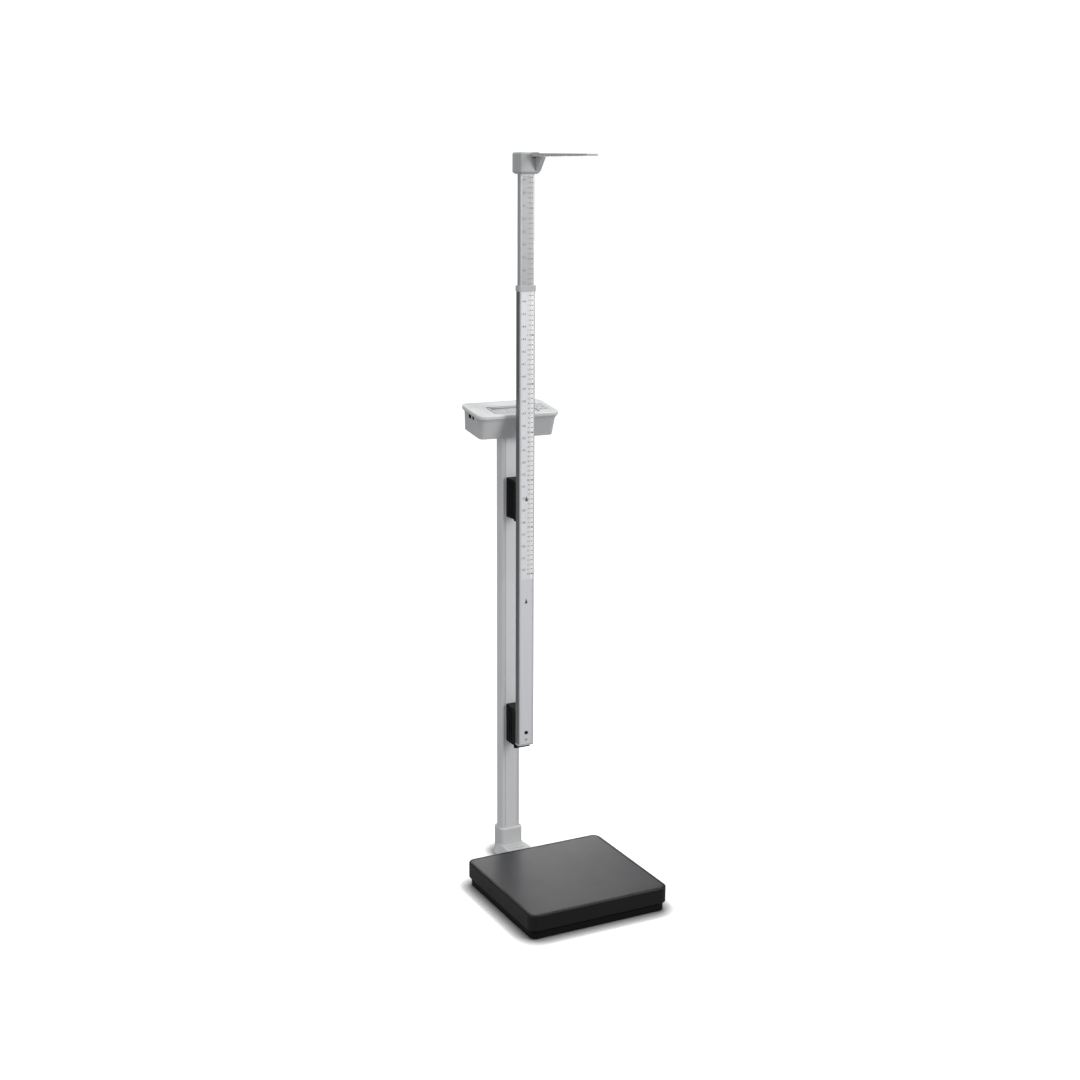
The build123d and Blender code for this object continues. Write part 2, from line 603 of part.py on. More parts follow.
def head_upper_housing():
    shell = head_bar(0, -UPPER_DEPTH, 0)
    shell = fillet(shell.faces().sort_by(Axis.Z)[-1].edges(), 2.5)
    shell -= head_bar(HEAD_WALL, -UPPER_DEPTH - 1, -HEAD_WALL)
    shell -= rounded_bar(*WINDOW_SIZE, -1.9, 1, 2.0, y=WINDOW_Y)
    shell -= rounded_bar(WINDOW_SIZE[0] - 6, WINDOW_SIZE[1] - 6, -5, 1, 1.0, y=WINDOW_Y)
    for x, y in KEY_SPOTS:
        shell -= rounded_bar(KEY_SIZE + 0.6, KEY_SIZE + 0.6, -5, 1, 1.9, y, x)
    return in_head(shell)


def taper(grow, z_low, z_high):
    """The lower housing's tapered body, grown or shrunk sideways."""
    top = RectangleRounded(BODY_TOP[0] + 2 * grow, BODY_TOP[1] + 2 * grow, BODY_RADIUS + grow)
    bottom = RectangleRounded(BODY_BOTTOM[0] + 2 * grow, BODY_BOTTOM[1] + 2 * grow, BODY_RADIUS + grow)
    return loft([Pos(0, 0, z_high) * top, Pos(0, BODY_BOTTOM_Y, z_low) * bottom])


def lip_slope(inset):
    """The slope under the lip, from the lip's outline in to the body's."""
    wide = RectangleRounded(HEAD_SIZE[0] - 2 * inset, HEAD_SIZE[1] - 2 * inset, LIP_RADIUS - inset)
    narrow = RectangleRounded(BODY_TOP[0] - 2 * inset, BODY_TOP[1] - 2 * inset, BODY_RADIUS - inset)
    return loft([Pos(0, 0, -LIP_DEPTH) * narrow, Pos(0, 0, -UPPER_DEPTH - FACE_GAP) * wide])


def head_lower_housing():
    body = lip_slope(0) + taper(0, UNDERSIDE, -LIP_DEPTH)
    body -= lip_slope(HEAD_WALL) + taper(-HEAD_WALL, UNDERSIDE + HEAD_WALL, -LIP_DEPTH)
    body -= block((BAY_X[0] - 0.4, BAY_X[1] + 0.4), (BAY_Y[0] - 0.4, 60), (UNDERSIDE - 1, UNDERSIDE + 3.2))
    body -= data_port_block(0.2, face_x=-HEAD_SIZE[0])
    body -= power_jack_body(0.2, face_x=-HEAD_SIZE[0])
    body -= block((-18, 18), (SUPPORT_Y - 8, SUPPORT_Y + 10), (UNDERSIDE - 1, UNDERSIDE + 4))
    for x, y in bracket_screw_spots():
        body -= upright_pin(2.1, UNDERSIDE - 1, UNDERSIDE + 4, x, y)
    return in_head(body)


def data_port_block(grow, face_x=SOCKET_FACE_X):
    return block(
        (face_x, SOCKET_FACE_X + 15 + grow),
        (PORT_Y[0] - grow, PORT_Y[1] + grow),
        (BOARD_Z[1] - grow, PORT_TOP + grow),
    )


def power_jack_body(grow, face_x=SOCKET_FACE_X):
    return rod_along_x(4.5 + grow, face_x, SOCKET_FACE_X + 13 + grow, JACK_Y, JACK_Z)


def data_port():
    """Eight-way data socket on the left of the board, open to the side."""
    mouth = block((SOCKET_FACE_X - 1, SOCKET_FACE_X + 10), (PORT_Y[0] + 1.4, PORT_Y[1] - 1.4), (BOARD_Z[1] + 1.2, PORT_TOP - 1.6))
    return in_head(data_port_block(0) - mouth)


def power_jack():
    """Round low-voltage inlet beside the data socket."""
    bore = rod_along_x(2.9, SOCKET_FACE_X - 1, SOCKET_FACE_X + 9.5, JACK_Y, JACK_Z)
    pin = rod_along_x(0.9, SOCKET_FACE_X + 1.5, SOCKET_FACE_X + 10.0, JACK_Y, JACK_Z)
    return in_head(power_jack_body(0) - bore + pin)


def display_window():
    width, depth = WINDOW_SIZE[0] - 0.4, WINDOW_SIZE[1] - 0.4
    return in_head(rounded_bar(width, depth, -1.9, -0.7, 1.8, y=WINDOW_Y))


def display_module():
    """Liquid-crystal display in its metal frame, just under the window."""
    module = block((-50, 50), (WINDOW_Y - 22, WINDOW_Y + 22), (-9.5, -4.2))
    module -= block((-44, 44), (WINDOW_Y - 16, WINDOW_Y + 16), (-4.8, -4.0))
    return in_head(module)


def display_glass():
    return in_head(block((-43.8, 43.8), (WINDOW_Y - 15.8, WINDOW_Y + 15.8), (-4.8, -4.3)))


def key_cap(x, y):
    """One key, with a flange under the housing that stops it from falling out."""
    cap = rounded_bar(KEY_SIZE, KEY_SIZE, -3.0, 1.6, 1.8, y, x)
    cap = fillet(cap.faces().sort_by(Axis.Z)[-1].edges(), 0.8)
    flange = rounded_bar(KEY_SIZE + 1.8, KEY_SIZE + 1.8, -4.4, -HEAD_WALL - 0.2, 1.9, y, x)
    return in_head(cap + flange)


def keypad_mat():
    """Rubber sheet with a dome under each key."""
    mat = block((55.0, 83.0), (-33.0, 17.0), (-8.4, -7.0))
    for x, y in KEY_SPOTS:
        mat += upright_pin(3.2, -7.0, -4.4 - KEY_TRAVEL - 0.3, x, y)
    return in_head(mat)


def keypad_board():
    return in_head(block((54.5, 83.4), (-35.0, 19.0), (-10.0, -8.4)))


def main_board():
    board = block((-80.0, 22.0), (-38.0, 38.0), BOARD_Z)
    board += block((-20, 4), (-12, 12), (BOARD_Z[1], BOARD_Z[1] + 2.0))
    board += block((4, 18), (20, 32), (BOARD_Z[1], BOARD_Z[1] + 4.0))
    board += upright_pin(4.0, BOARD_Z[1], BOARD_Z[1] + 5.4, -30, 28)
    return in_head(board)


def cell_centres():
    return [(x, UNDERSIDE + z) for x in (34.0, 50.0, 66.0) for z in (10.0, 25.2)]


def battery_holder():
    holder = block(BAY_X, BAY_Y, (UNDERSIDE + 2.4, UNDERSIDE + 33.0))
    for x, z in cell_centres():
        holder -= rod_along_y(7.4, BAY_Y[0] + 2.5, BAY_Y[1] - 2.5, x, z)
        holder -= block((x - 7.4, x + 7.4), (BAY_Y[0] + 2.5, BAY_Y[1] - 2.5), (UNDERSIDE, z))
    return in_head(holder)


def batteries():
    """Six cells in two layers, each with its raised contact."""
    cells = []
    for x, z in cell_centres():
        cell = rod_along_y(7.2, BAY_Y[0] + 3.0, BAY_Y[1] - 4.0, x, z)
        cells.append(in_head(cell + rod_along_y(2.6, BAY_Y[1] - 5.0, BAY_Y[1] - 2.7, x, z)))
    return Compound(children=cells)


def battery_cover():
    """Door flush in the underside that slides out through the back."""
    back = BODY_BOTTOM_Y + BODY_BOTTOM[1] / 2 - 0.9
    door = block(BAY_X, (BAY_Y[0], back), (UNDERSIDE, UNDERSIDE + DOOR_THICKNESS))
    for y in (-6, 0, 6):
        door -= block((42, 58), (y - 0.8, y + 0.8), (UNDERSIDE - 1, UNDERSIDE + 0.6))
    return in_head(door)


def bracket_screw_spots():
    return [(x, SUPPORT_Y + y) for x in (-21.5, 17.5) for y in (-21.5, 21.5)]


def head_bracket():
    """Tilted plate under the head, with a plug that drops into the column's top."""
    plate = rounded_bar(48, 54, UNDERSIDE - 4, UNDERSIDE, 4.0, y=SUPPORT_Y, x=-2.0)
    plate -= rounded_bar(26, 14, UNDERSIDE - 8, UNDERSIDE + 1, 3.0, y=SUPPORT_Y)
    for x, y in bracket_screw_spots():
        plate -= upright_pin(2.1, UNDERSIDE - 5, UNDERSIDE + 1, x, y)
    plate = in_head(plate)
    plug = column_bore(PLUG_GAP, COLUMN_TOP - 50, COLUMN_TOP + 12)
    below_plate = in_head(block((-60, 60), (-60, 60), (UNDERSIDE - 90, UNDERSIDE - 3.5)))
    bracket = plate + (plug & below_plate)
    return bracket - rounded_bar(24, 12, COLUMN_TOP - 60, COLUMN_TOP + 30, 3, y=COLUMN_Y)


def head_bracket_screws():
    screws = []
    for x, y in bracket_screw_spots():
        shank = upright_pin(2.0, UNDERSIDE - 4.5, UNDERSIDE + HEAD_WALL + 2, x, y)
        head = upright_pin(3.8, UNDERSIDE - 6.6, UNDERSIDE - 4.0, x, y)
        screws.append(in_head(shank + head))
    return Compound(children=screws)


# ---------------------------------------------------------------- internal signal lead
def signal_lead():
    """Lead from the junction board, along the bridge and up the column to the main board."""
    slope = math.radians(HEAD_TILT)
    board_height = HEAD_TOP_HEIGHT + (BOARD_Z[0] + (LEAD_Y - HEAD_Y) * math.sin(slope)) / math.cos(slope)
    route = FilletPolyline(
        (0, PLATFORM_Y + 14.4, LEAD_HEIGHT),
        (0, LEAD_Y, LEAD_HEIGHT),
        (0, LEAD_Y, board_height - 0.6),
        radius=8.0,
    )
    section = Plane(origin=route @ 0, z_dir=route % 0) * Circle(LEAD_RADIUS)
    return sweep(section, path=route)


# ---------------------------------------------------------------- write every sub-part
def all_nodes():
    nodes = {
        "platform_cover": platform_cover(),
        "platform_mat": platform_mat(),
        "load_plate": load_plate(),
        "load_cells": load_cells(),
        "load_buttons": load_buttons(),
        "base_tray": base_tray(),
        "junction_board": junction_board(),
        "bridge_plate": bridge_plate(),
        "bridge_screws": bridge_screws(),
        "bridge_cover": bridge_cover(),
        "foot_bolts": foot_bolts(),
        "rear_pads": rear_pads(),
        "column_boot": column_boot(),
        "column_tube": column_tube(),
        "upper_rod_bracket": rod_bracket(UPPER_BRACKET_BOTTOM),
        "lower_rod_bracket": rod_bracket(LOWER_BRACKET_BOTTOM),
        "bracket_screws": bracket_screws(),
        "rod_outer": rod_outer(),
        "rod_screws": rod_screws(),
        "rod_collar": rod_collar(),
        "rod_bottom_cap": rod_bottom_cap(),
        "rod_stop_screw": rod_stop_screw(),
        "cap_rivet": cap_rivet(),
        "scale_tape_outer": scale_tape_outer(),
        "rod_inner": rod_inner(),
        "rod_glide": rod_glide(),
        "scale_tape_inner": scale_tape_inner(),
        "head_block": head_block(),
        "arm_pin": arm_pin(),
        "measuring_arm": measuring_arm(),
        "head_bracket": head_bracket(),
        "head_bracket_screws": head_bracket_screws(),
        "head_lower_housing": head_lower_housing(),
        "head_upper_housing": head_upper_housing(),
        "display_window": display_window(),
        "display_glass": display_glass(),
        "display_module": display_module(),
        "keypad_mat": keypad_mat(),
        "keypad_board": keypad_board(),
        "main_board": main_board(),
        "data_port": data_port(),
        "power_jack": power_jack(),
        "battery_holder": battery_holder(),
        "batteries": batteries(),
        "battery_cover": battery_cover(),
        "signal_lead": signal_lead(),
    }
    for number, (x, y) in enumerate(FOOT_SPOTS, start=1):
        nodes[f"foot_stem_{number}"] = foot_stem(x, y)
        nodes[f"foot_pad_{number}"] = foot_pad(x, y)
    for number, (x, y) in enumerate(KEY_SPOTS, start=1):
        nodes[f"key_{number}"] = key_cap(x, y)
    return nodes


def main():
    os.makedirs("parts", exist_ok=True)
    for name, part in all_nodes().items():
        export_step(part, f"parts/{name}.step")


main()
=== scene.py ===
import json
import math

import bmesh
import bpy
from mathutils import Matrix, Quaternion, Vector


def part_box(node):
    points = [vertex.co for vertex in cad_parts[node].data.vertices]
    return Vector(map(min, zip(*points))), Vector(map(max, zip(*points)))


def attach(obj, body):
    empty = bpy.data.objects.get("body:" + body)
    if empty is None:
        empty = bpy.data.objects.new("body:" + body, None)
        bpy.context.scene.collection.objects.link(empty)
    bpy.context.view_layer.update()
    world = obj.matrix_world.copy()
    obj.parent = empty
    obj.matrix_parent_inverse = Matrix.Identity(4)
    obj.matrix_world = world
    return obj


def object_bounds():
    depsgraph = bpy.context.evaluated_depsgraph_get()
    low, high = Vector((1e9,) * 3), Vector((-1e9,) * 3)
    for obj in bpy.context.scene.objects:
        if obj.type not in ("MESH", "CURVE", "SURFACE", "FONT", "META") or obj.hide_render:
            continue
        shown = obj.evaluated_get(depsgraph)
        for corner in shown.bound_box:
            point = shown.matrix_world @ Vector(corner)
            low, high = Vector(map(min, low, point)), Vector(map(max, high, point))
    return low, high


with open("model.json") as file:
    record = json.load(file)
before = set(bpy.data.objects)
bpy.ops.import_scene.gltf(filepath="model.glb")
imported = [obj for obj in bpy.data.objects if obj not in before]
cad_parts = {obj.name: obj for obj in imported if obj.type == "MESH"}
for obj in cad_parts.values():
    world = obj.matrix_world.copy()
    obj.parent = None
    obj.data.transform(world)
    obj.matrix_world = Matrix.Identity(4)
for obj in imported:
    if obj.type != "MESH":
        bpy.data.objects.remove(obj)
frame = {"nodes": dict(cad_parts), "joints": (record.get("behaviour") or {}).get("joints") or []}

# Looks for the column scale: a material for every CAD node, the print on the rods, the display and the
# keys, and a plain studio. Lengths are metres, in the CAD frame.

MM = 0.001
CENTIMETRE = 0.01
INCH = 0.0254
PRINT_THICKNESS = 0.04 * MM

cad_low, cad_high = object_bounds()


# ---------------------------------------------------------------- material helpers
NOISE_LOW, NOISE_HIGH = 0.3, 0.7          # noise mostly stays between these values
EVEN = (1, 1, 1)
LENGTHWISE_GRAIN = (900, 900, 6)          # lines that run up a rod
CROSSWISE_GRAIN = (60, 1500, 1500)        # lines that run along X


def scaled(colour, factor):
    return tuple(channel * factor for channel in colour)


class Look:
    """A procedural material with a Principled shader and object-space coordinates in metres."""

    def __init__(self, name, roughness, metallic=0.0, **constants):
        self.material = bpy.data.materials.new(name)
        self.material.use_nodes = True
        self.tree = self.material.node_tree
        self.shader = self.tree.nodes["Principled BSDF"]
        self.shader.inputs["Roughness"].default_value = roughness
        self.shader.inputs["Metallic"].default_value = metallic
        for socket, value in constants.items():
            self.shader.inputs[socket.replace("_", " ")].default_value = value
        self.place = self.add("ShaderNodeTexCoord").outputs["Object"]
        self.normal = None

    def add(self, kind, **inputs):
        """A new node; each input is either linked from a socket or set to a value."""
        node = self.tree.nodes.new(kind)
        for socket, value in inputs.items():
            target = node.inputs[socket.replace("_", " ")]
            if isinstance(value, bpy.types.NodeSocket):
                self.tree.links.new(value, target)
            else:
                target.default_value = value
        return node

    def stretched(self, scale):
        """Coordinates stretched by a factor along each axis."""
        mapping = self.add("ShaderNodeMapping", Vector=self.place)
        mapping.inputs["Scale"].default_value = scale
        return mapping.outputs["Vector"]

    def noise(self, scale, detail, stretch=EVEN):
        vector = self.place if stretch == EVEN else self.stretched(stretch)
        return self.add("ShaderNodeTexNoise", Vector=vector, Scale=scale, Detail=detail).outputs["Fac"]

    def pebbles(self, scale):
        return self.add("ShaderNodeTexVoronoi", Vector=self.place, Scale=scale).outputs["Distance"]

    def ramp(self, factor, stops):
        """Colour ramp from (position, colour) pairs."""
        node = self.add("ShaderNodeValToRGB", Fac=factor)
        elements = node.color_ramp.elements
        while len(elements) < len(stops):
            elements.new(0.5)
        for element, (position, colour) in zip(elements, stops):
            element.position = position
            element.color = (*colour, 1.0)
        return node.outputs["Color"]

    def drift(self, noise, low, high):
        """Colour that wanders between two tones as the noise does."""
        return self.ramp(noise, [(NOISE_LOW, low), (NOISE_HIGH, high)])

    def spread(self, noise, low, high):
        """Value that wanders between two limits as the noise does."""
        node = self.add("ShaderNodeMapRange", Value=noise, To_Min=low, To_Max=high)
        node.inputs["From Min"].default_value = NOISE_LOW
        node.inputs["From Max"].default_value = NOISE_HIGH
        return node.outputs["Result"]

    def blend(self, factor, first, second):
        mix = self.add("ShaderNodeMix")
        mix.data_type = "RGBA"
        self.tree.links.new(factor, mix.inputs["Factor"])
        self.tree.links.new(first, mix.inputs["A"])
        self.tree.links.new(second, mix.inputs["B"])
        return mix.outputs["Result"]

    def colour(self, socket):
        self.tree.links.new(socket, self.shader.inputs["Base Color"])

    def mottled(self, colour, amount, scale, stretch=EVEN):
        """Base colour that drifts a little either side of a middle tone."""
        darker = scaled(colour, 1 - amount)
        lighter = tuple(min(channel, 1.0) for channel in scaled(colour, 1 + amount))
        self.colour(self.drift(self.noise(scale, 4.0, stretch), darker, lighter))

    def uneven_gloss(self, low, high, scale, stretch=EVEN):
        """Roughness that wanders between two limits."""
        gloss = self.spread(self.noise(scale, 4.0, stretch), low, high)
        self.tree.links.new(gloss, self.shader.inputs["Roughness"])

    def relief(self, height, depth, strength):
        """Adds surface relief of a real depth; later layers stack on earlier ones."""
        bump = self.add("ShaderNodeBump", Height=height, Distance=depth, Strength=strength)
        if self.normal is not None:
            self.tree.links.new(self.normal, bump.inputs["Normal"])
        self.normal = bump.outputs["Normal"]
        self.tree.links.new(self.normal, self.shader.inputs["Normal"])


# ---------------------------------------------------------------- materials
WHITE_BAND_START = 9.5 * MM               # where a tape's pale band begins, right of the rods' middle


def moulded_plastic(name, colour, roughness, grain=1800.0, gloss=0.5):
    look = Look(name, roughness=roughness, IOR=1.5, Specular_IOR_Level=gloss)
    look.mottled(colour, amount=0.06, scale=14.0)
    look.uneven_gloss(roughness - 0.06, roughness + 0.06, scale=40.0)
    look.relief(look.noise(grain, detail=2.0), depth=0.06 * MM, strength=0.5)
    return look.material


def grained_rubber(name, colour):
    look = Look(name, roughness=0.6, IOR=1.5, Specular_IOR_Level=0.35)
    look.mottled(colour, amount=0.12, scale=60.0)
    look.uneven_gloss(0.5, 0.7, scale=25.0)
    look.relief(look.pebbles(600.0), depth=0.15 * MM, strength=0.5)
    return look.material


def standing_mat_rubber():
    """Charcoal sheet with a fine pebble grain and a faint unevenness."""
    look = Look("standing_mat_rubber", roughness=0.45, IOR=1.5)
    look.mottled((0.020, 0.020, 0.023), amount=0.10, scale=7.0)
    look.uneven_gloss(0.30, 0.42, scale=9.0)
    look.relief(look.pebbles(700.0), depth=0.10 * MM, strength=0.45)
    look.relief(look.noise(90.0, detail=5.0), depth=0.05 * MM, strength=0.3)
    return look.material


def powder_coat(name, colour, roughness):
    look = Look(name, roughness=roughness, IOR=1.5)
    look.mottled(colour, amount=0.03, scale=9.0)
    look.uneven_gloss(roughness - 0.05, roughness + 0.05, scale=30.0)
    look.relief(look.noise(650.0, detail=2.0), depth=0.05 * MM, strength=0.45)
    return look.material


def drawn_metal(name, colour, side_shade_factor, roughness, metallic):
    """Extruded metal with fine lines along it; painted shade scales its narrow sides' colour by a factor.
    """
    side_shade_colour = scaled(colour, side_shade_factor)
    look = Look(name, roughness=roughness, metallic=metallic)
    lines = look.noise(1.0, detail=4.0, stretch=LENGTHWISE_GRAIN)
    front = look.drift(lines, scaled(colour, 0.95), colour)
    sides = look.drift(lines, scaled(side_shade_colour, 0.9), side_shade_colour)
    facing = look.add("ShaderNodeTexCoord").outputs["Normal"]
    across = look.add("ShaderNodeSeparateXYZ", Vector=facing).outputs["X"]
    side_shade_mask = look.add("ShaderNodeMath", Value=across)
    side_shade_mask.operation = "ABSOLUTE"
    look.colour(look.blend(side_shade_mask.outputs["Value"], front, sides))
    look.uneven_gloss(roughness - 0.06, roughness + 0.08, scale=1.0, stretch=LENGTHWISE_GRAIN)
    fine_lines = look.noise(1.5, detail=3.0, stretch=LENGTHWISE_GRAIN)
    look.relief(fine_lines, depth=0.02 * MM, strength=0.5)
    return look.material


def plated_steel():
    look = Look("plated_steel", roughness=0.32, metallic=1.0)
    look.mottled((0.50, 0.50, 0.51), amount=0.10, scale=120.0)
    look.uneven_gloss(0.25, 0.42, scale=200.0)
    look.relief(look.noise(900.0, detail=3.0), depth=0.02 * MM, strength=0.5)
    return look.material


def machined_aluminium():
    look = Look("machined_aluminium", roughness=0.38, metallic=1.0)
    look.mottled((0.70, 0.71, 0.72), amount=0.05, scale=1.0, stretch=CROSSWISE_GRAIN)
    look.uneven_gloss(0.3, 0.45, scale=1.0, stretch=CROSSWISE_GRAIN)
    tool_marks = look.noise(1.0, detail=2.0, stretch=CROSSWISE_GRAIN)
    look.relief(tool_marks, depth=0.02 * MM, strength=0.4)
    return look.material


def printed_tape(name, ground, pale):
    """Laminated ruler tape: a field for the numbers and a paler band for the marks on the right."""
    look = Look(name, roughness=0.34, IOR=1.5, Coat_Weight=0.25, Coat_Roughness=0.2)
    across = look.add("ShaderNodeSeparateXYZ", Vector=look.place).outputs["X"]
    band = look.add("ShaderNodeMath", Value=across)
    band.operation = "GREATER_THAN"
    band.inputs[1].default_value = WHITE_BAND_START
    fibre = look.noise(1.0, detail=3.0, stretch=(700, 700, 60))
    field = look.drift(fibre, scaled(ground, 0.96), ground)
    white = look.drift(fibre, scaled(pale, 0.96), pale)
    look.colour(look.blend(band.outputs["Value"], field, white))
    look.uneven_gloss(0.28, 0.42, scale=50.0)
    look.relief(look.noise(400.0, detail=2.0), depth=0.01 * MM, strength=0.4)
    return look.material


def ink(name, colour):
    look = Look(name, roughness=0.5)
    look.mottled(colour, amount=0.2, scale=500.0)
    look.uneven_gloss(0.42, 0.55, scale=300.0)
    return look.material


def clear_acrylic():
    """Window sheet that lets most of what lies behind it show through."""
    look = Look("clear_acrylic", roughness=0.12, IOR=1.49, Alpha=0.22)
    look.uneven_gloss(0.08, 0.16, scale=60.0)
    look.mottled((0.80, 0.82, 0.83), amount=0.02, scale=20.0)
    return look.material


def liquid_crystal():
    """Grey-green reflective panel with a fine cell structure."""
    look = Look("liquid_crystal", roughness=0.22, IOR=1.5, Coat_Weight=0.4, Coat_Roughness=0.08)
    cells = look.add("ShaderNodeTexChecker", Vector=look.place, Scale=1600.0).outputs["Fac"]
    look.colour(look.ramp(cells, [(0.0, (0.58, 0.61, 0.59)), (1.0, (0.62, 0.65, 0.63))]))
    look.uneven_gloss(0.16, 0.28, scale=30.0)
    return look.material


def circuit_board():
    """Green solder mask over a pattern of traces."""
    look = Look("circuit_board", roughness=0.35, IOR=1.5, Coat_Weight=0.3, Coat_Roughness=0.15)
    traces = look.add("ShaderNodeTexBrick", Vector=look.place, Scale=160.0)
    traces.inputs["Mortar Size"].default_value = 0.05
    stops = [(0.0, (0.012, 0.13, 0.05)), (1.0, (0.05, 0.28, 0.12))]
    look.colour(look.ramp(traces.outputs["Fac"], stops))
    look.relief(traces.outputs["Fac"], depth=0.05 * MM, strength=0.6)
    look.uneven_gloss(0.28, 0.42, scale=80.0)
    return look.material


def battery_sleeve():
    """Dark sleeve with a coppery band at one end of the cell."""
    look = Look("battery_sleeve", roughness=0.3, IOR=1.5, Coat_Weight=0.3)
    low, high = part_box("batteries")
    along = look.add("ShaderNodeSeparateXYZ", Vector=look.place).outputs["Y"]
    share = look.add("ShaderNodeMapRange", Value=along)
    share.inputs["From Min"].default_value = low.y
    share.inputs["From Max"].default_value = high.y
    stops = [(0.0, (0.03, 0.03, 0.035)), (0.7, (0.035, 0.035, 0.04)), (0.74, (0.45, 0.22, 0.08))]
    look.colour(look.ramp(share.outputs["Result"], stops))
    look.uneven_gloss(0.24, 0.4, scale=150.0)
    return look.material


# ---------------------------------------------------------------- which node gets which material
def node_materials():
    """The material of each CAD node; nodes with the same finish share one."""
    head = moulded_plastic("head_plastic", (0.59, 0.595, 0.60), 0.42)
    # A darker copy of the head's grey: painted shade on the lower housing's front under the lip.
    head_lower = moulded_plastic("head_lower_painted_shade", (0.46, 0.465, 0.475), 0.45)
    cover = moulded_plastic("cover_plastic", (0.006, 0.006, 0.007), 0.38, grain=900.0, gloss=0.22)
    black = moulded_plastic("black_plastic", (0.005, 0.005, 0.006), 0.5, grain=1200.0, gloss=0.1)
    boot = moulded_plastic("boot_plastic", (0.54, 0.545, 0.55), 0.5)
    bush = moulded_plastic("bush_plastic", (0.42, 0.425, 0.43), 0.45)
    arm = moulded_plastic("arm_plastic", (0.37, 0.375, 0.38), 0.45)
    keys = moulded_plastic("key_plastic", (0.50, 0.51, 0.53), 0.4)
    # Painted shade on the rods' narrow sides: strong on the outer rod, slight on the inner.
    rod = drawn_metal("rod_silver", (0.66, 0.67, 0.695), side_shade_factor=0.2, roughness=0.34, metallic=0.2)
    inner_rod = drawn_metal(
        "inner_rod_anodised", (0.46, 0.47, 0.48), side_shade_factor=0.9, roughness=0.36, metallic=0.35,
    )
    rubber = grained_rubber("black_rubber", (0.02, 0.02, 0.02))
    steel = plated_steel()
    board = circuit_board()
    materials = {
        "platform_cover": cover,
        "platform_mat": standing_mat_rubber(),
        "base_tray": black,
        "load_plate": steel,
        "load_cells": machined_aluminium(),
        "load_buttons": rubber,
        "junction_board": board,
        "bridge_plate": steel,
        "bridge_screws": steel,
        "bridge_cover": boot,
        "foot_bolts": steel,
        "rear_pads": rubber,
        "column_boot": boot,
        "column_tube": powder_coat("column_paint", (0.58, 0.59, 0.605), roughness=0.42),
        "upper_rod_bracket": black,
        "lower_rod_bracket": black,
        "bracket_screws": steel,
        "rod_outer": rod,
        "rod_screws": steel,
        "rod_collar": bush,
        "rod_bottom_cap": bush,
        "rod_stop_screw": black,
        "cap_rivet": steel,
        "scale_tape_outer": printed_tape("outer_tape_print", (0.68, 0.69, 0.71), (0.88, 0.88, 0.87)),
        "rod_inner": inner_rod,
        "rod_glide": bush,
        "scale_tape_inner": printed_tape("inner_tape_print", (0.36, 0.365, 0.37), (0.46, 0.465, 0.47)),
        "head_block": arm,
        "arm_pin": steel,
        "measuring_arm": arm,
        "head_bracket": steel,
        "head_bracket_screws": steel,
        "head_lower_housing": head_lower,
        "head_upper_housing": head,
        "display_window": clear_acrylic(),
        "display_glass": liquid_crystal(),
        "display_module": steel,
        "keypad_mat": grained_rubber("keypad_silicone", (0.12, 0.13, 0.14)),
        "keypad_board": board,
        "main_board": board,
        "data_port": black,
        "power_jack": black,
        "battery_holder": black,
        "batteries": battery_sleeve(),
        "battery_cover": head_lower,
        "signal_lead": rubber,
    }
    for node in frame["nodes"]:
        if node.startswith("foot_stem"):
            materials[node] = steel
        elif node.startswith("foot_pad"):
            materials[node] = rubber
        elif node.startswith("key_"):
            materials[node] = keys
    return materials


def dress_nodes():
    materials = node_materials()
    for node, thing in frame["nodes"].items():
        thing.data.materials.clear()
        thing.data.materials.append(materials[node])


# ---------------------------------------------------------------- mesh helpers
def finish_piece(name, bm, material, body):
    """Turns a bmesh into a piece of its own, on the body that it moves with."""
    bmesh.ops.recalc_face_normals(bm, faces=bm.faces)
    mesh = bpy.data.meshes.new(name)
    bm.to_mesh(mesh)
    bm.free()
    mesh.materials.append(material)
    piece = bpy.data.objects.new(name, mesh)
    bpy.context.scene.collection.objects.link(piece)
    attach(piece, body)


def add_prism(bm, outline, thickness, placement):
    """A flat shape given as (x, y) points, thickened along its own z and put in place by a matrix."""
    lower = [bm.verts.new(placement @ Vector((x, y, 0))) for x, y in outline]
    upper = [bm.verts.new(placement @ Vector((x, y, thickness))) for x, y in outline]
    bm.faces.new(list(reversed(lower)))
    bm.faces.new(upper)
    join_rings(bm, lower, upper)


def add_frame(bm, outer, inner, thickness, placement):
    """A flat ring between two outlines with the same number of points."""
    rings = []
    for outline in (outer, inner):
        for height in (0, thickness):
            rings.append([bm.verts.new(placement @ Vector((x, y, height))) for x, y in outline])
    low_outer, high_outer, low_inner, high_inner = rings
    join_rings(bm, low_outer, high_outer)
    join_rings(bm, high_outer, high_inner)
    join_rings(bm, high_inner, low_inner)
    join_rings(bm, low_inner, low_outer)


def join_rings(bm, first, second):
    """A closed band of faces between two rings with the same number of points."""
    count = len(first)
    for i in range(count):
        after = (i + 1) % count
        bm.faces.new((first[i], first[after], second[after], second[i]))


def rectangle(width, height):
    right, top = width / 2, height / 2
    return [(-right, -top), (right, -top), (right, top), (-right, top)]


def rounded_rectangle(width, height, radius, steps=6):
    points = []
    for quarter in range(4):
        turn = quarter * math.pi / 2
        side_x = 1 if quarter in (0, 3) else -1
        side_y = 1 if quarter in (0, 1) else -1
        centre_x = side_x * (width / 2 - radius)
        centre_y = side_y * (height / 2 - radius)
        for step in range(steps + 1):
            angle = turn + step / steps * math.pi / 2
            points.append((centre_x + radius * math.cos(angle), centre_y + radius * math.sin(angle)))
    return points


def circle(radius, x=0.0, y=0.0, steps=28):
    angles = [2 * math.pi * step / steps for step in range(steps)]
    return [(x + radius * math.cos(a), y + radius * math.sin(a)) for a in angles]


def facing_front(x, front_y, z):
    """Places a flat shape upright on a face that looks along -Y."""
    return Matrix.Translation((x, front_y, z)) @ Matrix.Rotation(math.pi / 2, 4, "X")


